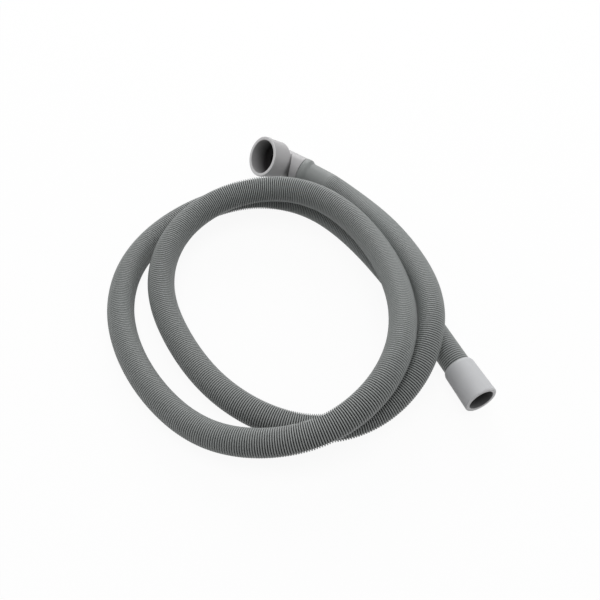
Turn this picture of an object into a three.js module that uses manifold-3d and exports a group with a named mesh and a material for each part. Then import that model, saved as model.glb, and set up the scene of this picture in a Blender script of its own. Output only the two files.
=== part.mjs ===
// Drain hose for a kitchen appliance: a corrugated hose laid in a loose coil, with a moulded elbow cuff
// on one end and a straight sleeve cuff on the other.
// Millimetres, +Z up. The coil lies on the plane z = 0 and the origin is under the middle of the whole.
// The straight cuff points along -Y, and the elbow's cup opens along -X, tilted up.
import * as THREE from "three";
import { mergeVertices } from "three/addons/utils/BufferGeometryUtils.js";
import Module from "manifold-3d";

// Facets
const hoseSides = 12;
const hoseSteps = 80;
const roundSides = 40; // round a cuff
const boreSides = 20; // round the water's way through the elbow
const cornerSteps = 5; // of a rounded corner
const routeDivisions = 1200; // for measuring along the hose's centre line
const weldDistance = 1e-3; // corners this near each other are one

// Fit
const seatGap = 0.3; // between pieces that touch
const cutOver = 1; // a cut runs this far past the face that it opens

// Hose
const hoseOuter = 24; // over the crests of the corrugation
const hoseBore = 19.6; // inside the valleys of the corrugation
const collarOuter = 28.4; // the smooth swollen end that takes the elbow's spigot
const collarLength = 4.6;
const collarFall = 4.6; // length over which the collar drops back to the hose
const collarBevel = 0.6;
const collarRoot = 0.4; // the collar's foot lies this deep in the hose's wall

// Elbow cuff
const cupOuter = 38.8; // at the mouth, without the lip
const cupBackOuter = 36.6; // at the closed end
const cupBore = 33; // at the mouth
const cupFloorBore = 31.6; // at the bottom
const cupDepth = 18;
const cupStart = 1; // from the bend to the cup's closed end
const cupReach = 24.8; // from the bend to the cup's mouth
const cupShoulder = 4.2; // radius of the rounded closed end
const cupTilt = 36; // degrees above level
const lipHeight = 0.5; // the rim's bead stands out this far
const lipLength = 3;
const neckOuter = 27.6; // the neck is as thick at its round end behind the cup
const neckLength = 25.7; // from the bend to the hose
const spigotOuter = hoseBore * Math.cos(Math.PI / hoseSides) - 2 * seatGap;
const spigotBore = 15.2;
const spigotLength = 15; // reach of the spigot inside the hose

// Straight cuff
const sleeveLength = 36.2;
const sleeveMouthOuter = 29.4;
const sleeveHoseOuter = 27.6;
const sleeveBore = 22;
const sleeveSeat = 16; // depth of the seat that holds the hose
const sleeveLead = 2.6; // length of the cone at the hose end
const sleeveLeadWall = 0.5; // thickness of the cone's thin end
const rimBevel = 1.2;

// Route of the hose's centre line: points of a smooth cubic B-spline, chosen by hand, elbow end first.
// It runs 2 1/3 turns, on the ground at a height of half the hose, and over itself in low humps.
const ROUTE = [
  [98.6, 130.6, 14.6], [104.4, 121.3, 14], [114.3, 105.4, 13], [126, 68.9, 14], [132, 13.4, 27.5],
  [128, -54.6, 37.5], [110.5, -100.6, 39.5], [74, -136.1, 28.5], [26.5, -150.1, 15.5], [-23, -138.6, 12],
  [-60.5, -103.1, 14.5], [-82, -55.6, 13.5], [-89.5, -1.6, 14.5], [-86.5, 50.9, 19.5], [-57, 94.9, 27],
  [-9, 117.4, 30.5], [43, 111.9, 36], [83.5, 81.9, 39.5], [105, 37.9, 36], [108, -17.6, 37.5],
  [96, -72.6, 44.5], [68, -118.6, 48.5], [27, -146.6, 44.5], [-20, -153.6, 34.5], [-66.5, -137.1, 24.5],
  [-104, -104.6, 15.5], [-125, -56.6, 12.5], [-132.5, -2.1, 12], [-125, 49.9, 12], [-98.5, 93.9, 12.5],
  [-55.5, 121.9, 12], [-2.5, 133.4, 12], [48.5, 122.9, 13.5], [88, 89.9, 13.5], [107, 39.9, 12],
  [114.5, -15.6, 12], [116.5, -67.1, 12], [114.7, -118.3, 14.8], [114.7, -136.3, 14.8],
  [114.7, -152.3, 14.8],
].map(([x, y, z]) => new THREE.Vector3(x, y, z));

// A uniform cubic B-spline that starts at the first point and ends at the last one.
class HoseRoute extends THREE.Curve {
  constructor(points) {
    super();
    const last = points.length - 1;
    const before = points[0].clone().multiplyScalar(2).sub(points[1]);
    const after = points[last].clone().multiplyScalar(2).sub(points[last - 1]);
    this.points = [before, ...points, after];
    this.spans = last;
    this.arcLengthDivisions = routeDivisions;
  }

  getPoint(t, target = new THREE.Vector3()) {
    const along = t * this.spans;
    const span = Math.min(Math.floor(along), this.spans - 1);
    const u = along - span;
    const weights = [
      (1 - u) ** 3,
      3 * u ** 3 - 6 * u ** 2 + 4,
      -3 * u ** 3 + 3 * u ** 2 + 3 * u + 1,
      u ** 3,
    ];
    target.set(0, 0, 0);
    weights.forEach((w, i) => target.addScaledVector(this.points[span + i], w / 6));
    return target;
  }
}

const wasm = await Module();
wasm.setup();

// A closed three.js geometry as a solid that can be joined and cut.
function toSolid(geometry) {
  const bare = geometry.clone();
  bare.deleteAttribute("normal");
  bare.deleteAttribute("uv");
  const merged = mergeVertices(bare, weldDistance);
  return new wasm.Manifold(
    new wasm.Mesh({
      numProp: 3,
      vertProperties: new Float32Array(merged.attributes.position.array),
      triVerts: new Uint32Array(merged.index.array),
    }),
  );
}

function toGeometry(solid) {
  const mesh = solid.getMesh();
  const geometry = new THREE.BufferGeometry();
  geometry.setAttribute("position", new THREE.BufferAttribute(mesh.vertProperties, 3));
  geometry.setIndex(new THREE.BufferAttribute(mesh.triVerts, 1));
  geometry.computeVertexNormals();
  return geometry;
}

// A corner of a turned outline rounded by a quarter circle about (radius, along), from angle a to angle b.
function arc(radius, along, r, a, b) {
  return Array.from({ length: cornerSteps + 1 }, (_, i) => {
    const q = THREE.MathUtils.degToRad(a + ((b - a) * i) / cornerSteps);
    return [radius + r * Math.cos(q), along + r * Math.sin(q)];
  });
}

// A solid of revolution about +Z: the outline is [radius, height], from the lower axis point to the upper one.
function turned(outline, sides = roundSides) {
  const lathe = new THREE.LatheGeometry(outline.map(([r, h]) => new THREE.Vector2(r, h)), sides);
  return lathe.rotateX(Math.PI / 2);
}

// Turns a geometry's own +Z to a direction and moves its origin to a place.
function aimed(geometry, direction, place) {
  const turn = new THREE.Quaternion().setFromUnitVectors(new THREE.Vector3(0, 0, 1), direction);
  return geometry.applyQuaternion(turn).translate(place.x, place.y, place.z);
}

const rod = (radius, from, to, sides) => turned([[0, from], [radius, from], [radius, to], [0, to]], sides);

// A rod that starts in a half ball about the origin.
const roundRod = (radius, to, sides) => turned([...arc(0, 0, radius, -90, 0), [radius, to], [0, to]], sides);

const route = new HoseRoute(ROUTE);
const hoseStart = route.getPoint(0);
const hoseEnd = route.getPoint(1);
const startAim = ROUTE[1].clone().sub(ROUTE[0]).normalize(); // into the hose
const endAim = ROUTE.at(-1).clone().sub(ROUTE.at(-2)).normalize(); // out of the hose

// The hose: an open tube along the route, with the smooth swollen collar at the elbow end.
function hoseGeometry() {
  const ring = (radius) =>
    Array.from({ length: hoseSides }, (_, i) => {
      const q = (2 * Math.PI * (i + 0.5)) / hoseSides;
      return new THREE.Vector2(radius * Math.cos(q), radius * Math.sin(q));
    });
  const section = new THREE.Shape(ring(hoseOuter / 2));
  section.holes.push(new THREE.Path(ring(hoseBore / 2)));
  const tube = new THREE.ExtrudeGeometry(section, { steps: hoseSteps, extrudePath: route, bevelEnabled: false });
  const collar = turned([
    [hoseBore / 2, 0],
    [collarOuter / 2 - collarBevel, 0],
    [collarOuter / 2, collarBevel],
    [collarOuter / 2, collarLength],
    [hoseOuter / 2 - collarRoot, collarLength + collarFall],
    [hoseBore / 2, collarLength + collarFall],
    [hoseBore / 2, 0],
  ]);
  return toGeometry(toSolid(tube).add(toSolid(aimed(collar, startAim, hoseStart))));
}

// The elbow cuff: a tapered cup, and a neck with a round end behind it, bored through, with a spigot for
// the hose.
function elbowGeometry() {
  const tilt = THREE.MathUtils.degToRad(cupTilt);
  const cupAim = new THREE.Vector3(-Math.cos(tilt), 0, Math.sin(tilt));
  const bend = hoseStart.clone().addScaledVector(startAim, -seatGap - neckLength);
  const spigotTip = neckLength + seatGap + spigotLength;
  const shoulderTop = cupStart + cupShoulder;
  const backR = cupBackOuter / 2;
  const cupR = (h) => THREE.MathUtils.mapLinear(h, shoulderTop, cupReach, cupBackOuter, cupOuter) / 2;
  const cup = turned([
    [0, cupStart],
    ...arc(backR - cupShoulder, shoulderTop, cupShoulder, -90, 0),
    [cupR(cupReach - lipLength), cupReach - lipLength],
    [cupR(cupReach) + lipHeight, cupReach - lipLength + lipHeight],
    [cupR(cupReach) + lipHeight, cupReach - lipHeight],
    [cupR(cupReach), cupReach],
    [0, cupReach],
  ]);
  const floor = cupReach - cupDepth;
  const socket = turned([
    [0, floor],
    [cupFloorBore / 2, floor],
    [cupBore / 2, cupReach],
    [cupBore / 2, cupReach + cutOver],
    [0, cupReach + cutOver],
  ]);
  const neck = roundRod(neckOuter / 2, neckLength, roundSides);
  const spigot = rod(spigotOuter / 2, 0, spigotTip, boreSides);
  const passage = roundRod(spigotBore / 2, spigotTip + cutOver, boreSides);
  const throat = rod(spigotBore / 2, 0, cupReach, boreSides);
  const along = (geometry) => toSolid(aimed(geometry, startAim, bend));
  const across = (geometry) => toSolid(aimed(geometry, cupAim, bend));
  return toGeometry(
    across(cup).add(along(neck)).add(along(spigot))
      .subtract(across(socket)).subtract(along(passage)).subtract(across(throat)),
  );
}

// The straight cuff: a tapered sleeve, its outline closed on itself, that holds the hose in a seat.
function sleeveGeometry() {
  const seatR = hoseOuter / 2 + seatGap;
  const outer = (h) => THREE.MathUtils.mapLinear(h, 0, sleeveLength, sleeveHoseOuter, sleeveMouthOuter) / 2;
  const sleeve = turned([
    [seatR, 0],
    [seatR + sleeveLeadWall, 0],
    [outer(sleeveLead), sleeveLead],
    [outer(sleeveLength - rimBevel), sleeveLength - rimBevel],
    [outer(sleeveLength) - rimBevel, sleeveLength],
    [sleeveBore / 2, sleeveLength],
    [sleeveBore / 2, sleeveSeat + seatGap],
    [seatR, sleeveSeat + seatGap],
    [seatR, 0],
  ]);
  return aimed(sleeve, endAim, hoseEnd.clone().addScaledVector(endAim, -sleeveSeat));
}

const part = new THREE.Group();
part.name = "drain_hose";

function addPiece(name, geometry, color, roughness) {
  const material = new THREE.MeshStandardMaterial({ color, roughness, metalness: 0 });
  const mesh = new THREE.Mesh(geometry, material);
  mesh.name = name;
  part.add(mesh);
}

addPiece("corrugated_hose", hoseGeometry(), 0x7a7f7e, 0.55);
addPiece("elbow_cuff", elbowGeometry(), 0xaaa8aa, 0.5);
addPiece("straight_cuff", sleeveGeometry(), 0xb9bab9, 0.6);

export default part;
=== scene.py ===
"""Studio scene of a corrugated drain hose that lies in a loose coil, with an elbow cuff and a straight cuff.

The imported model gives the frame. The hose, the elbow cuff and the straight cuff are modelled again here
in fine detail, each in the place of its plain solid.
"""

from __future__ import annotations

import logging
import math
from collections.abc import Callable
from dataclasses import dataclass, field
from enum import Enum

import bmesh
import bpy
from mathutils import Matrix, Vector

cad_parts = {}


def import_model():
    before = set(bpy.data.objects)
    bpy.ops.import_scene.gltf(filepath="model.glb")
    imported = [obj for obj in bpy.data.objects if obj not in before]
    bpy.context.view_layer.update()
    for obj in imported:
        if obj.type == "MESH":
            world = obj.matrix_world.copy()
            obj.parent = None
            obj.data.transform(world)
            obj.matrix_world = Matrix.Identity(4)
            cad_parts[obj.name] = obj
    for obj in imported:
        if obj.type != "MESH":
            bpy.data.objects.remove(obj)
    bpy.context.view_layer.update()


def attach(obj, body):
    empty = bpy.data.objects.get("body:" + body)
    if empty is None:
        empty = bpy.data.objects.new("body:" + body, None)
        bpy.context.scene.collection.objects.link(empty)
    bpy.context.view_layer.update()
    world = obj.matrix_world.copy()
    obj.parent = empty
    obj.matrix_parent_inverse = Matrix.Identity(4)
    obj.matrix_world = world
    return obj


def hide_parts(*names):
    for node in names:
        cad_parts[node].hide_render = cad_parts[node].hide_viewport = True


MM = 0.001
# Two points of a mesh nearer to each other than this, in metres, are one point.
WELD = 1e-6
BODY = "root"
HOSE_NODE = "corrugated_hose"
ELBOW_NODE = "elbow_cuff"
STRAIGHT_NODE = "straight_cuff"

# The route of the hose's centre line in metres, as in the part's source: points of a smooth cubic
# B-spline, elbow end first.
ROUTE = [
    (0.0986, 0.1306, 0.0146), (0.1044, 0.1213, 0.014), (0.1143, 0.1054, 0.013), (0.126, 0.0689, 0.014),
    (0.132, 0.0134, 0.0275), (0.128, -0.0546, 0.0375), (0.1105, -0.1006, 0.0395),
    (0.074, -0.1361, 0.0285), (0.0265, -0.1501, 0.0155), (-0.023, -0.1386, 0.012),
    (-0.0605, -0.1031, 0.0145), (-0.082, -0.0556, 0.0135), (-0.0895, -0.0016, 0.0145),
    (-0.0865, 0.0509, 0.0195), (-0.057, 0.0949, 0.027), (-0.009, 0.1174, 0.0305), (0.043, 0.1119, 0.036),
    (0.0835, 0.0819, 0.0395), (0.105, 0.0379, 0.036), (0.108, -0.0176, 0.0375), (0.096, -0.0726, 0.0445),
    (0.068, -0.1186, 0.0485), (0.027, -0.1466, 0.0445), (-0.02, -0.1536, 0.0345),
    (-0.0665, -0.1371, 0.0245), (-0.104, -0.1046, 0.0155), (-0.125, -0.0566, 0.0125),
    (-0.1325, -0.0021, 0.012), (-0.125, 0.0499, 0.012), (-0.0985, 0.0939, 0.0125),
    (-0.0555, 0.1219, 0.012), (-0.0025, 0.1334, 0.012), (0.0485, 0.1229, 0.0135), (0.088, 0.0899, 0.0135),
    (0.107, 0.0399, 0.012), (0.1145, -0.0156, 0.012), (0.1165, -0.0671, 0.012), (0.1147, -0.1183, 0.0148),
    (0.1147, -0.1363, 0.0148), (0.1147, -0.1523, 0.0148),
]

Outline = list[tuple[float, float]]
Colour = tuple[float, float, float, float]
# A ring round the hose's route: its distance along the route, its radius and its groove share, which darkens
# it towards the colour of the painted groove shade.
Row = tuple[float, float, float]

log = logging.getLogger("drain_hose")


class Finish(Enum):
    """The finishes of the record's material slots."""

    HOSE = "hose_plastic"
    ELBOW = "elbow_plastic"
    SLEEVE = "sleeve_rubber"


class Join(Enum):
    """The ways in which one closed shape works on another."""

    ADD = "UNION"
    CUT = "DIFFERENCE"


def as_colour(hex_code: str) -> Colour:
    """A display colour such as "7a7f7e" as linear red, green, blue and alpha.

    Args:
        hex_code: six hexadecimal digits of the colour as it shows on a screen.

    Returns:
        The four linear values that a shader socket takes.
    """
    # The standard curve between the values of a display and linear ones.
    shown = [int(hex_code[i : i + 2], 16) / 255 for i in (0, 2, 4)]
    linear = [c / 12.92 if c <= 0.04045 else ((c + 0.055) / 1.055) ** 2.4 for c in shown]
    return (*linear, 1.0)


def as_grey(level: float) -> Colour:
    """A grey of a linear level from 0 to 1."""
    return (level, level, level, 1.0)


@dataclass(frozen=True)
class Noise:
    """The settings of a noise texture."""

    scale: float
    detail: float
    roughness: float = 0.5


class Signal:
    """A shader socket whose arithmetic adds Math nodes."""

    def __init__(self, graph: Graph, socket: bpy.types.NodeSocket | None) -> None:
        """Keeps the graph and the socket."""
        self.graph = graph
        self.socket = socket

    def _math(self, operation: str, *values: Signal | float) -> Signal:
        """The result of one Math node."""
        return self.graph.node("ShaderNodeMath", {"operation": operation}, values)

    def __add__(self, other: Signal | float) -> Signal:
        """The sum."""
        return self._math("ADD", self, other)

    __radd__ = __add__

    def __mul__(self, other: Signal | float) -> Signal:
        """The product."""
        return self._math("MULTIPLY", self, other)

    __rmul__ = __mul__

    def __sub__(self, other: Signal | float) -> Signal:
        """The difference."""
        return self._math("SUBTRACT", self, other)

    def __rsub__(self, other: float) -> Signal:
        """The difference with this signal taken away."""
        return self._math("SUBTRACT", other, self)

    def __pow__(self, other: float) -> Signal:
        """The power."""
        return self._math("POWER", self, other)

    def clamped(self) -> Signal:
        """The signal kept between 0 and 1."""
        return self.graph.node("ShaderNodeClamp", inputs=(self, 0.0, 1.0))

    def centred(self) -> Signal:
        """The signal, which runs from 0 to 1, moved down so that it runs evenly about 0."""
        return self - 0.5

    def largest(self, other: Signal) -> Signal:
        """The larger of two signals."""
        return self._math("MAXIMUM", self, other)


class Graph:
    """The node tree of a material or of the world."""

    # The sockets of a Mix node that mixes colours: its share and its two colours, and its result.
    MIX_INPUTS = (0, 6, 7)
    MIX_RESULT = 2
    # The depth of a plastic's grain in metres at full strength.
    GRAIN_DEPTH = 0.2 * MM

    def __init__(self, owner: bpy.types.Material | bpy.types.World) -> None:
        """Starts an empty tree.

        Args:
            owner: the material or the world that shows the tree.
        """
        self.owner = owner
        owner.use_nodes = True
        self.tree = owner.node_tree
        self.tree.nodes.clear()

    def node(
        self,
        kind: str,
        settings: dict[str, object] | None = None,
        inputs: tuple | dict = (),
        output: int | str = 0,
    ) -> Signal:
        """Adds a node, sets it up and links it.

        Args:
            kind: the node's type.
            settings: attributes to set first.
            inputs: values or signals, in order or by their socket's name or number.
            output: the output socket to return.

        Returns:
            The chosen output as a signal, empty for a node that ends the tree.
        """
        made = self.tree.nodes.new(kind)
        for key, value in (settings or {}).items():
            setattr(made, key, value)
        for key, value in inputs.items() if isinstance(inputs, dict) else enumerate(inputs):
            if isinstance(value, Signal):
                self.tree.links.new(value.socket, made.inputs[key])
            else:
                made.inputs[key].default_value = value
        return Signal(self, made.outputs[output] if made.outputs else None)

    def place(self) -> Signal:
        """The Object coordinates."""
        return self.node("ShaderNodeTexCoord", output="Object")

    def share(self, attribute: str) -> Signal:
        """A share from 0 to 1 that the piece's mesh carries."""
        return self.node("ShaderNodeAttribute", {"attribute_name": attribute}, output="Fac")

    def ray(self, kind: str) -> Signal:
        """Whether the ray is of a kind, such as "Is Camera Ray"."""
        return self.node("ShaderNodeLightPath", output=kind)

    def noise(self, noise: Noise) -> Signal:
        """A noise texture's value, from 0 to 1, on Object coordinates."""
        inputs = {"Scale": noise.scale, "Detail": noise.detail, "Roughness": noise.roughness}
        inputs["Vector"] = self.place()
        return self.node("ShaderNodeTexNoise", inputs=inputs, output="Fac")

    def mixed(self, share: Signal, low: Signal | Colour, high: Signal | Colour) -> Signal:
        """A colour between two colours."""
        inputs = dict(zip(self.MIX_INPUTS, (share, low, high)))
        return self.node("ShaderNodeMix", {"data_type": "RGBA"}, inputs, self.MIX_RESULT)

    def plastic(self, colour: Signal, rough: Signal, gloss: float, grain: Signal, strength: float) -> Signal:
        """A plastic with a fine grain.

        Args:
            colour: its colour.
            rough: its roughness.
            gloss: its specular level.
            grain: the height of its grain, from 0 to 1.
            strength: the strength of its grain, from 0 to 1.

        Returns:
            The shader.
        """
        height = {"Strength": strength, "Distance": self.GRAIN_DEPTH, "Height": grain}
        normal = self.node("ShaderNodeBump", inputs=height)
        inputs = {"Base Color": colour, "Roughness": rough, "Normal": normal, "Specular IOR Level": gloss}
        return self.node("ShaderNodeBsdfPrincipled", inputs=inputs)

    def surface(
        self, shader: Signal, end: str = "ShaderNodeOutputMaterial"
    ) -> bpy.types.Material | bpy.types.World:
        """Ends the tree at a shader and returns its owner."""
        self.node(end, inputs={"Surface": shader})
        return self.owner


@dataclass(frozen=True)
class HosePlastic:
    """Satin grey extruded plastic, with painted shade in the grooves."""

    crest: str = "a1a3a2"
    crest_cool: str = "969b9a"
    # The colour of the painted shade in the grooves, the bore and the joint with the elbow.
    groove: str = "1c1d1d"
    groove_power: float = 1.3
    groove_shade_noise: float = 0.14
    roughness: float = 0.46
    groove_roughness: float = 0.18
    grain_roughness: float = 0.1
    gloss: float = 0.42
    grain: float = 0.12
    cloud: Noise = Noise(14.0, 3.0)
    fine: Noise = Noise(900.0, 4.0, 0.6)

    def material(self) -> bpy.types.Material:
        """Builds the material from the piece's own groove attribute, which places the painted shade, and
        Object coordinates.

        Returns:
            The material.
        """
        graph = Graph(bpy.data.materials.new(Finish.HOSE.value))
        groove = graph.share("groove")
        cloud, fine = graph.noise(self.cloud), graph.noise(self.fine)
        crest = graph.mixed(cloud, as_colour(self.crest), as_colour(self.crest_cool))
        # Painted shade: the groove share, a little uneven, darkens the grooves towards the groove colour.
        painted_groove_shade = groove**self.groove_power * (1 - self.groove_shade_noise + self.groove_shade_noise * fine)
        colour = graph.mixed(painted_groove_shade.clamped(), crest, as_colour(self.groove))
        rough = self.roughness + self.groove_roughness * groove + self.grain_roughness * fine.centred()
        return graph.surface(graph.plastic(colour, rough, self.gloss, fine, self.grain))


@dataclass(frozen=True)
class MouldedPlastic:
    """Light grey moulded plastic or rubber with a fine grain, with a painted highlight on the rim and
    painted shade in its bores.
    """

    slot: Finish
    tone: str
    tone_low: str
    painted_rim_highlight: str
    painted_inside_shade: str
    roughness: float
    grain: float
    cloud_contrast: float = 1.6
    cloud_start: float = 0.3
    cloud_roughness: float = 0.12
    grain_roughness: float = 0.08
    gloss: float = 0.4
    cloud: Noise = Noise(45.0, 4.0)
    fine: Noise = Noise(1400.0, 3.0, 0.6)

    def material(self) -> bpy.types.Material:
        """Builds the material from Object coordinates and the piece's own inside and rim attributes, which
        place the painted shade and the painted highlight.

        Returns:
            The material.
        """
        graph = Graph(bpy.data.materials.new(self.slot.value))
        cloud, fine = graph.noise(self.cloud), graph.noise(self.fine)
        patch = (cloud * self.cloud_contrast - self.cloud_start).clamped()
        skin = graph.mixed(patch, as_colour(self.tone), as_colour(self.tone_low))
        # A painted highlight on the rim, from the rim attribute.
        rim_highlit = graph.mixed(graph.share("rim"), skin, as_colour(self.painted_rim_highlight))
        # Painted shade in the bores and the relief, from the inside attribute.
        colour = graph.mixed(graph.share("inside"), rim_highlit, as_colour(self.painted_inside_shade))
        rough = self.roughness + self.cloud_roughness * cloud.centred()
        rough += self.grain_roughness * fine.centred()
        return graph.surface(graph.plastic(colour, rough, self.gloss, fine, self.grain))


def elbow_plastic() -> MouldedPlastic:
    """The elbow's light grey plastic."""
    # d6d5d6 is the painted rim highlight and 1d1b1c the painted shade in the bores.
    return MouldedPlastic(Finish.ELBOW, "b4b3b4", "abaaab", "d6d5d6", "1d1b1c", roughness=0.42, grain=0.08)


def sleeve_rubber() -> MouldedPlastic:
    """The sleeve's paler rubber."""
    # e0e0e1 is the painted rim highlight and 1f1f1d the painted shade in the bore.
    return MouldedPlastic(Finish.SLEEVE, "cbccce", "c3c4c6", "e0e0e1", "1f1f1d", roughness=0.55, grain=0.12)


class HoseRoute:
    """A uniform cubic B-spline that starts at the first route point and ends at the last one."""

    # The samples of one span, from one route point to the next.
    SAMPLES = 200

    def __init__(self, points: list[tuple[float, float, float]]) -> None:
        """Samples the spline finely and measures it.

        Args:
            points: the route's points in metres.
        """
        spots = [Vector(p) for p in points]
        self.points = [2 * spots[0] - spots[1], *spots, 2 * spots[-1] - spots[-2]]
        self.spans = len(spots) - 1
        total = self.spans * self.SAMPLES
        self.fine = [self._at(i / self.SAMPLES) for i in range(total + 1)]
        self.lengths = [0.0]
        for a, b in zip(self.fine, self.fine[1:]):
            self.lengths.append(self.lengths[-1] + (b - a).length)

    def _at(self, along: float) -> Vector:
        """The point at a number of spans from the start.

        Args:
            along: the spans, whole ones and a share.

        Returns:
            The point in metres.
        """
        span = min(int(along), self.spans - 1)
        u = along - span
        # The four points' weights in a uniform cubic B-spline, each six times over.
        weights = ((1 - u) ** 3, 3 * u**3 - 6 * u**2 + 4, -3 * u**3 + 3 * u**2 + 3 * u + 1, u**3)
        near = self.points[span : span + 4]
        return sum((p * (w / 6) for p, w in zip(near, weights)), Vector())

    @property
    def length(self) -> float:
        """The route's length in metres."""
        return self.lengths[-1]

    def places(self, distances: list[float]) -> list[Vector]:
        """The points at rising distances from the start.

        Args:
            distances: distances along the route in metres, in rising order.

        Returns:
            One point for each distance.
        """
        found, i = [], 0
        last = len(self.fine) - 2
        for s in distances:
            while i < last and self.lengths[i + 1] < s:
                i += 1
            share = (s - self.lengths[i]) / (self.lengths[i + 1] - self.lengths[i])
            found.append(self.fine[i].lerp(self.fine[i + 1], share))
        return found


@dataclass
class CorrugatedHose:
    """The hose: a ribbed tube with an open bore, a smooth swollen collar and a smooth tail."""

    # The collar's rounded mouth as (distance from the end, depth under the collar, added groove share); the
    # added share paints shade into the joint with the elbow.
    MOUTH = ((0.0, 0.7 * MM, 0.24), (0.2 * MM, 0.25 * MM, 0.0), (0.7 * MM, 0.0, 0.0))
    # One rib and the groove after it as (share of the pitch, share of the groove's depth).
    RIB = ((0.0, 0.0), (0.35, 0.0), (0.51, 1.0), (0.85, 1.0))

    route: HoseRoute
    outer: float = 24 * MM
    bore: float = 19.6 * MM
    pitch: float = 1.96 * MM
    groove_depth: float = 1.3 * MM
    growing_ribs: int = 8
    collar_outer: float = 28.4 * MM
    collar_length: float = 4.6 * MM
    collar_fall: float = 4.6 * MM
    fall_steps: int = 6
    smooth_start: float = 22 * MM
    smooth_tail: float = 13 * MM
    smooth_shade: float = 0.36
    around: int = 25
    bore_around: int = 16
    bore_step: float = 9 * MM
    aim_reach: float = 0.4 * MM
    finish: HosePlastic = field(default_factory=HosePlastic)

    def outline(self) -> list[Row]:
        """The rows of the outer wall, from the collar to the tail."""
        crest = self.outer / 2
        top = self.collar_outer / 2
        shade = self.smooth_shade
        rows = [(place, top - depth, shade + added) for place, depth, added in self.MOUTH]
        rows.append((self.collar_length, top, shade))
        for i in range(1, self.fall_steps + 1):
            share = i / self.fall_steps
            fall = (1 - math.cos(math.pi * share)) / 2
            rows.append((self.collar_length + self.collar_fall * share, top + (crest - top) * fall, shade))
        start = self.collar_length + self.collar_fall + self.smooth_start
        rows.append((start - self.pitch, crest, shade))
        ribs = int((self.route.length - self.smooth_tail - start) / self.pitch)
        for rib in range(ribs):
            grow = min(1.0, (rib + 1) / self.growing_ribs)
            for share, sunk in self.RIB:
                place = start + (rib + share) * self.pitch
                tint = sunk * grow + shade * (1 - grow)
                rows.append((place, crest - self.groove_depth * sunk * grow, tint))
        rows.append((start + ribs * self.pitch, crest, 0.0))
        rows.append((self.route.length, crest, 0.0))
        return rows

    @property
    def centres(self) -> list[Vector]:
        """The middle of each row of the outline."""
        return self.route.places([row[0] for row in self.outline()])

    def build(self) -> bpy.types.Object:
        """Makes the mesh and dresses it.

        Returns:
            The finished piece.
        """
        mesh = bmesh.new()
        mesh.verts.layers.float.new("groove")
        outside = self._rings(mesh, self.outline(), self.around)
        count = round(self.route.length / self.bore_step)
        # The bore's rows carry a full groove share, which paints shade inside the hose.
        inner = [(self.route.length * i / count, self.bore / 2, 1.0) for i in range(count + 1)]
        inside = self._rings(mesh, inner, self.bore_around)
        self._skin(mesh, outside, False)
        self._skin(mesh, inside, True)
        for end in (0, -1):
            rings = (outside[end], inside[end])
            edges = [mesh.edges.get((ring[i - 1], ring[i])) for ring in rings for i in range(len(ring))]
            bmesh.ops.bridge_loops(mesh, edges=edges)
        bmesh.ops.recalc_face_normals(mesh, faces=mesh.faces)
        for face in mesh.faces:
            face.smooth = True
        data = bpy.data.meshes.new("hose_tube")
        mesh.to_mesh(data)
        mesh.free()
        hose = bpy.data.objects.new("hose_tube", data)
        bpy.context.scene.collection.objects.link(hose)
        data.materials.append(self.finish.material())
        return hose

    def _frames(self, distances: list[float]) -> list[tuple[Vector, Vector]]:
        """Two directions across the route at each distance, carried along without a twist.

        Args:
            distances: distances along the route in metres, in rising order.

        Returns:
            One pair of directions for each distance.
        """
        behind = self.route.places([max(0.0, s - self.aim_reach) for s in distances])
        ahead = self.route.places([min(self.route.length, s + self.aim_reach) for s in distances])
        frames, side = [], Vector((0, 0, 1))
        for a, b in zip(behind, ahead):
            along = (b - a).normalized()
            side = (side - along * side.dot(along)).normalized()
            frames.append((side, along.cross(side)))
        return frames

    def _rings(self, mesh: bmesh.types.BMesh, rows: list[Row], count: int) -> list[list[bmesh.types.BMVert]]:
        """Rings of vertices round the route, each with its groove share.

        Args:
            mesh: the mesh that gets them.
            rows: one row for each ring.
            count: the vertices of a ring.

        Returns:
            The rings in order.
        """
        layer = mesh.verts.layers.float["groove"]
        distances = [row[0] for row in rows]
        rings = []
        for centre, frame, row in zip(self.route.places(distances), self._frames(distances), rows):
            (side, other), (_, radius, groove) = frame, row
            ring = []
            for i in range(count):
                q = 2 * math.pi * i / count
                vert = mesh.verts.new(centre + (side * math.cos(q) + other * math.sin(q)) * radius)
                vert[layer] = groove
                ring.append(vert)
            rings.append(ring)
        return rings

    @staticmethod
    def _skin(mesh: bmesh.types.BMesh, rings: list[list[bmesh.types.BMVert]], inwards: bool) -> None:
        """Lays faces between neighbouring rings.

        Args:
            mesh: the mesh that gets them.
            rings: the rings in order.
            inwards: whether the faces look towards the route.
        """
        for a, b in zip(rings, rings[1:]):
            for i in range(len(a)):
                quad = (a[i - 1], a[i], b[i], b[i - 1])
                mesh.faces.new(quad if inwards else quad[::-1])


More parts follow.
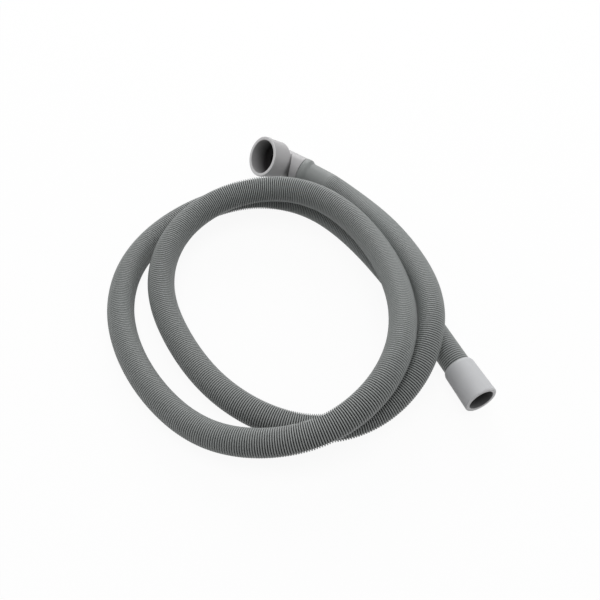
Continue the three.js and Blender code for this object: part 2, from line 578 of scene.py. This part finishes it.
class Bench:
    """Small wrappers of Blender's modelling operators that act on one object."""

    @staticmethod
    def clear() -> None:
        """Leaves edit mode and deselects everything."""
        if bpy.context.object and bpy.context.object.mode != "OBJECT":
            bpy.ops.object.mode_set(mode="OBJECT")
        bpy.ops.object.select_all(action="DESELECT")

    @staticmethod
    def pick(obj: bpy.types.Object) -> None:
        """Makes an object the active one and the only one selected."""
        Bench.clear()
        bpy.context.view_layer.objects.active = obj
        obj.select_set(True)

    @staticmethod
    def weld() -> None:
        """Merges the double points of the object in edit mode and leaves its whole mesh selected."""
        bpy.ops.mesh.select_all(action="SELECT")
        bpy.ops.mesh.remove_doubles(threshold=WELD)

    @staticmethod
    def turn(name: str, outline: Outline, sides: int) -> bpy.types.Object:
        """A body of revolution about +Z, spun from an outline that ends on the axis or closes on itself.

        Args:
            name: the object's name.
            outline: (radius, height) pairs in order.
            sides: the steps of the spin.

        Returns:
            The new closed object with its faces outwards.
        """
        closed = outline[0] == outline[-1]
        spots = outline[:-1] if closed else outline
        edges = [(i, i + 1) for i in range(len(spots) - 1)]
        if closed:
            edges.append((len(spots) - 1, 0))
        data = bpy.data.meshes.new(name)
        data.from_pydata([(r, 0, h) for r, h in spots], edges, [])
        made = bpy.data.objects.new(name, data)
        bpy.context.scene.collection.objects.link(made)
        Bench.pick(made)
        bpy.ops.object.mode_set(mode="EDIT")
        bpy.ops.mesh.select_all(action="SELECT")
        bpy.ops.mesh.spin(steps=sides, angle=2 * math.pi, center=(0, 0, 0), axis=(0, 0, 1))
        Bench.weld()
        bpy.ops.mesh.normals_make_consistent(inside=False)
        bpy.ops.object.mode_set(mode="OBJECT")
        return made

    @staticmethod
    def aim(obj: bpy.types.Object, direction: Vector, place: Vector) -> bpy.types.Object:
        """Turns a mesh's own +Z to a direction, moves it to a place and returns its object."""
        turn = direction.to_track_quat("Z", "Y").to_matrix().to_4x4()
        obj.data.transform(Matrix.Translation(place) @ turn)
        return obj

    @staticmethod
    def combine(base: bpy.types.Object, tool: bpy.types.Object, join: Join) -> None:
        """Joins or cuts one closed object with another, which is used up.

        Args:
            base: the object that stays.
            tool: the object that is added or taken away.
            join: which of the two.
        """
        Bench.pick(base)
        modifier = base.modifiers.new("combine", "BOOLEAN")
        modifier.operation = join.value
        modifier.object = tool
        modifier.solver = "EXACT"
        bpy.ops.object.modifier_apply(modifier=modifier.name)
        bpy.data.objects.remove(tool, do_unlink=True)
        bpy.ops.object.mode_set(mode="EDIT")
        Bench.weld()
        bpy.ops.object.mode_set(mode="OBJECT")

    @staticmethod
    def mark(obj: bpy.types.Object, attribute: str, share: Callable[[Vector], float]) -> None:
        """Writes a share from 0 to 1 for each vertex into an attribute that the finish reads.

        Args:
            obj: the piece.
            attribute: the attribute's name.
            share: gives the share for a place.
        """
        layer = obj.data.attributes.new(attribute, "FLOAT", "POINT")
        for vertex in obj.data.vertices:
            layer.data[vertex.index].value = share(vertex.co)

    @staticmethod
    def smooth(obj: bpy.types.Object, angle: float) -> None:
        """Shades an object smooth up to an angle in degrees."""
        Bench.pick(obj)
        bpy.ops.object.shade_smooth_by_angle(angle=math.radians(angle))


def rounded(radius: float, height: float, r: float, start: float, end: float, count: int = 6) -> Outline:
    """Points of a rounded corner of an outline.

    Args:
        radius: the radius of the corner circle's centre from the axis.
        height: the height of the corner circle's centre.
        r: the corner's own radius.
        start: the first angle in degrees.
        end: the last angle in degrees.
        count: the steps between them.

    Returns:
        (radius, height) pairs.
    """
    angles = [math.radians(start + (end - start) * i / count) for i in range(count + 1)]
    return [(radius + r * math.cos(q), height + r * math.sin(q)) for q in angles]


@dataclass
class ElbowCuff:
    """The moulded elbow: a tapered cup and a neck with a round end, bored through, with a spigot.

    Heights are measured from the bend along the cup, and lengths from the bend along the neck. An edge or
    a slope of two sizes goes that far across its axis and that far along it.
    """

    start: Vector
    hose_aim: Vector
    cup_outer: float = 38.8 * MM
    cup_back_outer: float = 36.6 * MM
    cup_bore: float = 33 * MM
    cup_floor_bore: float = 31.6 * MM
    cup_depth: float = 18 * MM
    cup_reach: float = 24.8 * MM
    cup_start: float = 1 * MM
    shoulder: float = 4.2 * MM
    tilt: float = 36.0
    lip: float = 0.5 * MM
    lip_length: float = 3 * MM
    lip_edge: tuple[float, float] = (0.1 * MM, 0.3 * MM)
    rim_round: float = 0.7 * MM
    rim_rise: float = 0.3 * MM
    floor_round: float = 1 * MM
    floor_edge: float = 0.3 * MM
    mouth_edge: float = 0.2 * MM
    mouth_slope: tuple[float, float] = (1.7 * MM, 0.4 * MM)
    neck_outer: float = 27.6 * MM
    neck_length: float = 25.7 * MM
    relief_depth: float = 2.7 * MM
    relief_place: float = 9.6 * MM
    relief_tilt: float = 27.0
    relief_turn: float = 24.0
    relief_length: float = 5 * MM
    relief_flare: float = 2 * MM
    spigot_outer: float = 18.3 * MM
    spigot_bore: float = 15.2 * MM
    spigot_length: float = 15 * MM
    spigot_bevel: tuple[float, float] = (0.6 * MM, 1 * MM)
    gap: float = 0.3 * MM
    overshoot: float = 1 * MM
    # The share of shade painted at the cup's mouth, and in the relief at its deepest.
    mouth_shade_share: float = 0.15
    relief_shade_share: float = 0.6
    bore_shade_margin: float = 0.3 * MM
    # The band at the rim that gets the painted highlight.
    rim_highlight_margin: float = 0.4 * MM
    relief_shade_margin: float = 0.02 * MM
    back_steps: int = 10
    end_steps: int = 20
    bore_steps: int = 12
    sides: int = 96
    smooth_angle: float = 32.0
    finish: MouldedPlastic = field(default_factory=elbow_plastic)

    @property
    def cup_aim(self) -> Vector:
        """The way in which the cup opens."""
        tilt = math.radians(self.tilt)
        return Vector((-math.cos(tilt), 0, math.sin(tilt)))

    @property
    def bend(self) -> Vector:
        """The place where the cup's axis meets the neck's."""
        return self.start - self.hose_aim * (self.gap + self.neck_length)

    @property
    def tip(self) -> float:
        """The length at which the spigot ends."""
        return self.neck_length + self.gap + self.spigot_length

    def build(self) -> bpy.types.Object:
        """Models, places and dresses the elbow.

        Returns:
            The finished piece.
        """
        elbow = Bench.aim(self._cup(), self.cup_aim, self.bend)
        neck = Bench.aim(self._neck(), self.hose_aim, self.bend)
        Bench.combine(neck, self._relief(), Join.CUT)
        Bench.combine(elbow, neck, Join.ADD)
        Bench.combine(elbow, Bench.aim(self._socket(), self.cup_aim, self.bend), Join.CUT)
        Bench.combine(elbow, Bench.aim(self._passage(), self.hose_aim, self.bend), Join.CUT)
        # Painted shade in the bores and the relief, and a painted highlight on the rim.
        Bench.mark(elbow, "inside", lambda place: self._painted_shade_share(place - self.bend))
        Bench.mark(elbow, "rim", lambda place: self._rim_highlight_share(place - self.bend))
        Bench.smooth(elbow, self.smooth_angle)
        elbow.data.materials.clear()
        elbow.data.materials.append(self.finish.material())
        elbow.name = "elbow_moulding"
        return elbow

    def _rim_highlight_share(self, place: Vector) -> float:
        """1 on the cup's rim, where a highlight is painted, and 0 elsewhere, for a place about the bend."""
        return float(place.dot(self.cup_aim) > self.cup_reach - self.rim_highlight_margin)

    def _painted_shade_share(self, place: Vector) -> float:
        """How much shade is painted at a place, by how deep inside the bores or the relief it lies.

        Args:
            place: the place about the bend.

        Returns:
            The share of the painted shade, from 0 to 1.
        """
        height = place.dot(self.cup_aim)
        if height > self.cup_reach - self.cup_depth - self.bore_shade_margin:
            if (place - self.cup_aim * height).length > self.cup_bore / 2 + self.bore_shade_margin:
                return 0.0
            depth = (self.cup_reach - height) / self.cup_depth
            return self.mouth_shade_share + (1 - self.mouth_shade_share) * min(1.0, depth)
        along = max(0.0, place.dot(self.hose_aim))
        if (place - self.hose_aim * along).length < self.spigot_bore / 2 + self.bore_shade_margin:
            return 1.0
        return self._shade_in_relief(place)

    def _shade_in_relief(self, place: Vector) -> float:
        """How much shade is painted at a place, by how deep in the relief it lies.

        Args:
            place: the place about the bend.

        Returns:
            The share of the painted shade, which is 0 off the relief's wall.
        """
        r = self.neck_outer / 2
        middle, way = self._relief_axis()
        off = place - middle
        along = off.dot(way)
        wall = r - self.relief_flare * along / self.relief_length
        if along > self.relief_shade_margin or abs((off - way * along).length - wall) > self.relief_shade_margin:
            return 0.0
        depth = r - (place - self.hose_aim * place.dot(self.hose_aim)).length
        return self.relief_shade_share * max(0.0, min(1.0, depth / self.relief_depth))

    def _radius(self, height: float) -> float:
        """The cup's outer radius at a height.

        Args:
            height: the height above the bend.

        Returns:
            The radius of the taper there.
        """
        low = self.shoulder + self.cup_start
        share = (height - low) / (self.cup_reach - low)
        return (self.cup_back_outer + (self.cup_outer - self.cup_back_outer) * share) / 2

    def _cup(self) -> bpy.types.Object:
        """The outside of the cup, with its rounded closed end and the lip at its rim.

        Returns:
            The upright shape.
        """
        rim = self.cup_reach
        lip = rim - self.lip_length
        edge_in, edge_up = self.lip_edge
        widest = self._radius(rim) + self.lip
        back = self.cup_back_outer / 2 - self.shoulder
        outline = [(0, self.cup_start)]
        outline += rounded(back, self.shoulder + self.cup_start, self.shoulder, -90, 0, self.back_steps)
        outline += [(self._radius(lip - self.lip), lip - self.lip)]
        outline += [(widest - edge_in, lip), (widest, lip + edge_up)]
        outline += rounded(widest - self.rim_round, rim - self.rim_round, self.rim_round, 0, 90)
        outline += [(widest - 2 * self.rim_round, rim), (0, rim + self.rim_rise)]
        return Bench.turn("cup", outline, self.sides)

    def _neck(self) -> bpy.types.Object:
        """The neck from its round end behind the cup to its seat, and the spigot beyond it.

        Returns:
            The upright shape.
        """
        r = self.neck_outer / 2
        seat = self.neck_length
        spigot = self.spigot_outer / 2
        bevel_in, bevel_up = self.spigot_bevel
        outline = rounded(0, 0, r, -90, 0, self.end_steps)
        outline += rounded(r - self.rim_round, seat - self.rim_round, self.rim_round, 0, 90)
        outline += [(spigot, seat), (spigot, self.tip - bevel_up)]
        outline += [(spigot - bevel_in, self.tip), (0, self.tip)]
        return Bench.turn("neck", outline, self.sides)

    def _relief(self) -> bpy.types.Object:
        """The ring that thins the neck beside the cup, most on its lower inner side.

        Returns:
            The ring in its place.
        """
        r = self.neck_outer / 2
        low = (r + self.relief_flare, -self.relief_length)
        ring = Bench.turn("relief", [low, (2 * r, -self.relief_length), (2 * r, 0), (r, 0), low], self.sides)
        middle, way = self._relief_axis()
        return Bench.aim(ring, way, self.bend + middle)

    def _relief_axis(self) -> tuple[Vector, Vector]:
        """The relief's axis.

        Returns:
            The middle of the ring's end away from the cup, about the bend, and the ring's direction.
        """
        aim = self.hose_aim
        inwards = (self.cup_aim - aim * self.cup_aim.dot(aim)).normalized()
        turn, tilt = math.radians(self.relief_turn), math.radians(self.relief_tilt)
        side = inwards * math.cos(turn) + aim.cross(inwards) * math.sin(turn)
        middle = aim * self.relief_place - side * self.relief_depth
        return middle, aim * math.cos(tilt) - side * math.sin(tilt)

    def _socket(self) -> bpy.types.Object:
        """The space inside the cup and its way through to the bend.

        Returns:
            The upright shape, which stands past the rim.
        """
        mouth = self.cup_bore / 2
        deep = self.cup_floor_bore / 2
        throat = self.spigot_bore / 2
        rim = self.cup_reach
        floor = rim - self.cup_depth
        slope_out, slope_up = self.mouth_slope
        outline = [(0, 0), (throat, 0), (throat, floor), (deep - self.floor_round, floor)]
        outline += [(deep - self.floor_edge, floor + self.floor_edge), (deep, floor + self.floor_round)]
        outline += [(mouth, rim - self.rim_round), (mouth + self.mouth_edge, rim - self.mouth_edge)]
        outline += [(mouth + slope_out, rim + slope_up), (mouth + slope_out, rim + self.overshoot)]
        outline += [(0, rim + self.overshoot)]
        return Bench.turn("socket", outline, self.sides)

    def _passage(self) -> bpy.types.Object:
        """The bore from the bend through the neck and the spigot.

        Returns:
            The upright shape, which stands past the spigot.
        """
        r = self.spigot_bore / 2
        end = self.tip + self.overshoot
        outline = [*rounded(0, 0, r, -90, 0, self.bore_steps), (r, end), (0, end)]
        return Bench.turn("passage", outline, self.sides // 2)


@dataclass
class StraightCuff:
    """The moulded sleeve over the hose's other end, with heights from its hose side."""

    # The lead-in edge's points as (height of the taper's radius, depth under that radius, own height),
    # with both heights measured from the lead.
    LEAD = ((-0.6 * MM, 0.25 * MM, -0.9 * MM), (0.0, 0.05 * MM, -0.2 * MM), (0.6 * MM, 0.0, 0.6 * MM))

    end: Vector
    hose_aim: Vector
    hose_outer: float = 24 * MM
    length: float = 36.2 * MM
    mouth_outer: float = 29.4 * MM
    hose_side_outer: float = 27.6 * MM
    bore: float = 22 * MM
    seat: float = 16 * MM
    lead: float = 2.6 * MM
    lead_round: float = 0.25 * MM
    lead_width: float = 0.5 * MM
    lead_angle: float = -20.0
    lead_steps: int = 3
    seat_edge: float = 0.3 * MM
    bore_edge: float = 0.4 * MM
    mouth_edge: float = 0.5 * MM
    rim_bevel: float = 1.2 * MM
    gap: float = 0.3 * MM
    # The share of shade painted at the sleeve's mouth.
    mouth_shade_share: float = 0.7
    bore_shade_margin: float = 0.1 * MM
    rim_highlight_margin: float = 0.4 * MM
    sides: int = 96
    smooth_angle: float = 40.0
    finish: MouldedPlastic = field(default_factory=sleeve_rubber)

    def build(self) -> bpy.types.Object:
        """Models, places and dresses the sleeve.

        Returns:
            The finished piece.
        """
        sleeve = Bench.turn("sleeve_moulding", self._outline(), self.sides)
        # Painted shade in the bore and a painted highlight on the rim.
        Bench.mark(sleeve, "inside", self._painted_shade_share)
        Bench.mark(sleeve, "rim", lambda place: float(place.z > self.length - self.rim_highlight_margin))
        Bench.aim(sleeve, self.hose_aim, self.end - self.hose_aim * self.seat)
        Bench.smooth(sleeve, self.smooth_angle)
        sleeve.data.materials.append(self.finish.material())
        return sleeve

    def _outline(self) -> Outline:
        """The sleeve's wall, closed on itself, from the seat's edge round the outside and back.

        Returns:
            (radius, height) pairs.
        """
        seat = self.hose_outer / 2 + self.gap
        mouth = self.mouth_outer / 2 - self.rim_bevel
        bore = self.bore / 2
        ledge = self.seat + self.gap
        outline = [(seat, self.seat_edge), (seat + self.seat_edge, 0)]
        foot = seat + self.lead_width
        outline += rounded(foot, self.lead_round, self.lead_round, -90, self.lead_angle, self.lead_steps)
        outline += [(self._radius(self.lead + up) - drop, self.lead + own) for up, drop, own in self.LEAD]
        outline += rounded(mouth, self.length - self.rim_bevel, self.rim_bevel, 0, 90)
        outline += [(bore + self.mouth_edge, self.length), (bore, self.length - self.mouth_edge)]
        outline += [(bore, ledge + self.bore_edge), (bore + self.bore_edge, ledge)]
        outline += [(seat, ledge), (seat, self.seat_edge)]
        return outline

    def _painted_shade_share(self, place: Vector) -> float:
        """How much shade is painted at a place, by how deep inside the bore it lies.

        Args:
            place: the place on the upright sleeve.

        Returns:
            The share of the painted shade, from 0 to 1.
        """
        if place.xy.length > self.bore / 2 + self.bore_shade_margin:
            return 0.0
        depth = (self.length - place.z) / (self.length - self.seat)
        return self.mouth_shade_share + (1 - self.mouth_shade_share) * depth

    def _radius(self, height: float) -> float:
        """The taper's outer radius at a height."""
        share = height / self.length
        return (self.hose_side_outer + (self.mouth_outer - self.hose_side_outer) * share) / 2


@dataclass(frozen=True)
class Lamp:
    """A soft square lamp: degrees round the coil from behind the camera, degrees up, watts and metres."""

    name: str
    azimuth: float
    elevation: float
    power: float
    side: float = 1.3


@dataclass
class Studio:
    """The camera, the lamps, the world and the floor.

    The floor bounces light as one grey, and the camera sees it as a paler grey under a share of plain white.
    """

    target: Vector = field(default_factory=lambda: Vector((0.0305, -0.0036, 0.0)))
    azimuth: float = -26.0
    elevation: float = 53.0
    distance: float = 0.821
    focal_px: float = 896.7
    frame_px: float = 600.0
    sensor: float = 36.0
    clip: tuple[float, float] = (0.05, 50.0)
    lamps: tuple[Lamp, ...] = (
        Lamp("top_lamp", 0, 88, 14),
        Lamp("back_lamp", 180, 22, 20),
        Lamp("right_lamp", 90, 22, 7.5),
        Lamp("left_lamp", 270, 22, 5),
    )
    lamp_distance: float = 1.8
    world_light: float = 0.24
    floor_side: float = 12.0
    floor_bounce: float = 0.5
    floor_tone: float = 0.95
    floor_white: float = 0.93

    @staticmethod
    def _away(azimuth: float, elevation: float) -> Vector:
        """The direction from the coil at an azimuth and an elevation in degrees."""
        a, e = math.radians(azimuth), math.radians(elevation)
        return Vector((math.sin(a) * math.cos(e), -math.cos(a) * math.cos(e), math.sin(e)))

    def _stand(self, data: bpy.types.ID, away: Vector, distance: float) -> bpy.types.Object:
        """Stands a camera or a lamp so that it looks at the target.

        Args:
            data: the camera or the lamp, whose name the object gets.
            away: the direction from the target.
            distance: the distance from the target in metres.

        Returns:
            The new object.
        """
        made = bpy.data.objects.new(data.name, data)
        made.location = self.target + away * distance
        made.rotation_mode = "QUATERNION"
        made.rotation_quaternion = (-away).to_track_quat("-Z", "Y")
        bpy.context.scene.collection.objects.link(made)
        return made

    def camera(self) -> None:
        """Places the camera at the photograph's angle."""
        data = bpy.data.cameras.new("camera")
        data.sensor_width = self.sensor
        data.lens = self.sensor * self.focal_px / self.frame_px
        data.clip_start, data.clip_end = self.clip
        away = self._away(self.azimuth, self.elevation)
        bpy.context.scene.camera = self._stand(data, away, self.distance)

    def lights(self) -> None:
        """Makes the lamps and the world's even light, which the camera sees as white."""
        for lamp in self.lamps:
            data = bpy.data.lights.new(lamp.name, "AREA")
            data.shape, data.size, data.energy = "SQUARE", lamp.side, lamp.power
            self._stand(data, self._away(self.azimuth + lamp.azimuth, lamp.elevation), self.lamp_distance)
        graph = Graph(bpy.data.worlds.new("studio"))
        level = self.world_light + (1 - self.world_light) * graph.ray("Is Camera Ray")
        back = graph.node("ShaderNodeBackground", inputs={"Color": as_grey(1.0), "Strength": level})
        bpy.context.scene.world = graph.surface(back, "ShaderNodeOutputWorld")

    def floor(self) -> None:
        """Makes a wide pale floor that shows white and keeps a faint shadow."""
        Bench.clear()
        bpy.ops.mesh.primitive_plane_add(size=self.floor_side, location=(0, 0, 0))
        plane = bpy.context.object
        plane.name = "floor"
        graph = Graph(bpy.data.materials.new("floor_white"))
        seen = graph.ray("Is Camera Ray").largest(graph.ray("Is Glossy Ray"))
        bounce = graph.node("ShaderNodeBsdfDiffuse", inputs={"Color": as_grey(self.floor_bounce)})
        bright = graph.node("ShaderNodeBsdfDiffuse", inputs={"Color": as_grey(self.floor_tone)})
        white = graph.node("ShaderNodeEmission", inputs={"Color": as_grey(1.0), "Strength": 1.0})
        shown = graph.node("ShaderNodeMixShader", inputs=(self.floor_white, bright, white))
        finish = graph.surface(graph.node("ShaderNodeMixShader", inputs=(seen, bounce, shown)))
        plane.data.materials.append(finish)


def settle(piece: bpy.types.Object, node: str, finish: Finish) -> None:
    """Makes a piece ride on the body in the place of its plain solid and reports it.

    Args:
        piece: the finished piece.
        node: the solid's node.
        finish: the piece's material slot; not used.
    """
    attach(piece, BODY)
    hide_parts(node)
    log.info("%s: %d faces, stands for %s", piece.name, len(piece.data.polygons), node)


def main() -> None:
    """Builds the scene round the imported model."""
    logging.basicConfig(level=logging.INFO, format="%(message)s")
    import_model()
    studio = Studio()
    studio.camera()
    route = HoseRoute(ROUTE)
    start, end = Vector(ROUTE[0]), Vector(ROUTE[-1])
    start_aim = (Vector(ROUTE[1]) - start).normalized()
    end_aim = (end - Vector(ROUTE[-2])).normalized()
    maker = CorrugatedHose(route)
    hose = maker.build()
    settle(hose, HOSE_NODE, Finish.HOSE)
    elbow = ElbowCuff(start, start_aim).build()
    settle(elbow, ELBOW_NODE, Finish.ELBOW)
    sleeve = StraightCuff(end, end_aim).build()
    settle(sleeve, STRAIGHT_NODE, Finish.SLEEVE)
    route.length
    [tuple(c) for c in maker.centres]
    studio.floor()
    studio.lights()
    bpy.context.scene.view_settings.view_transform = "Standard"


if __name__ == "__main__":
    main()
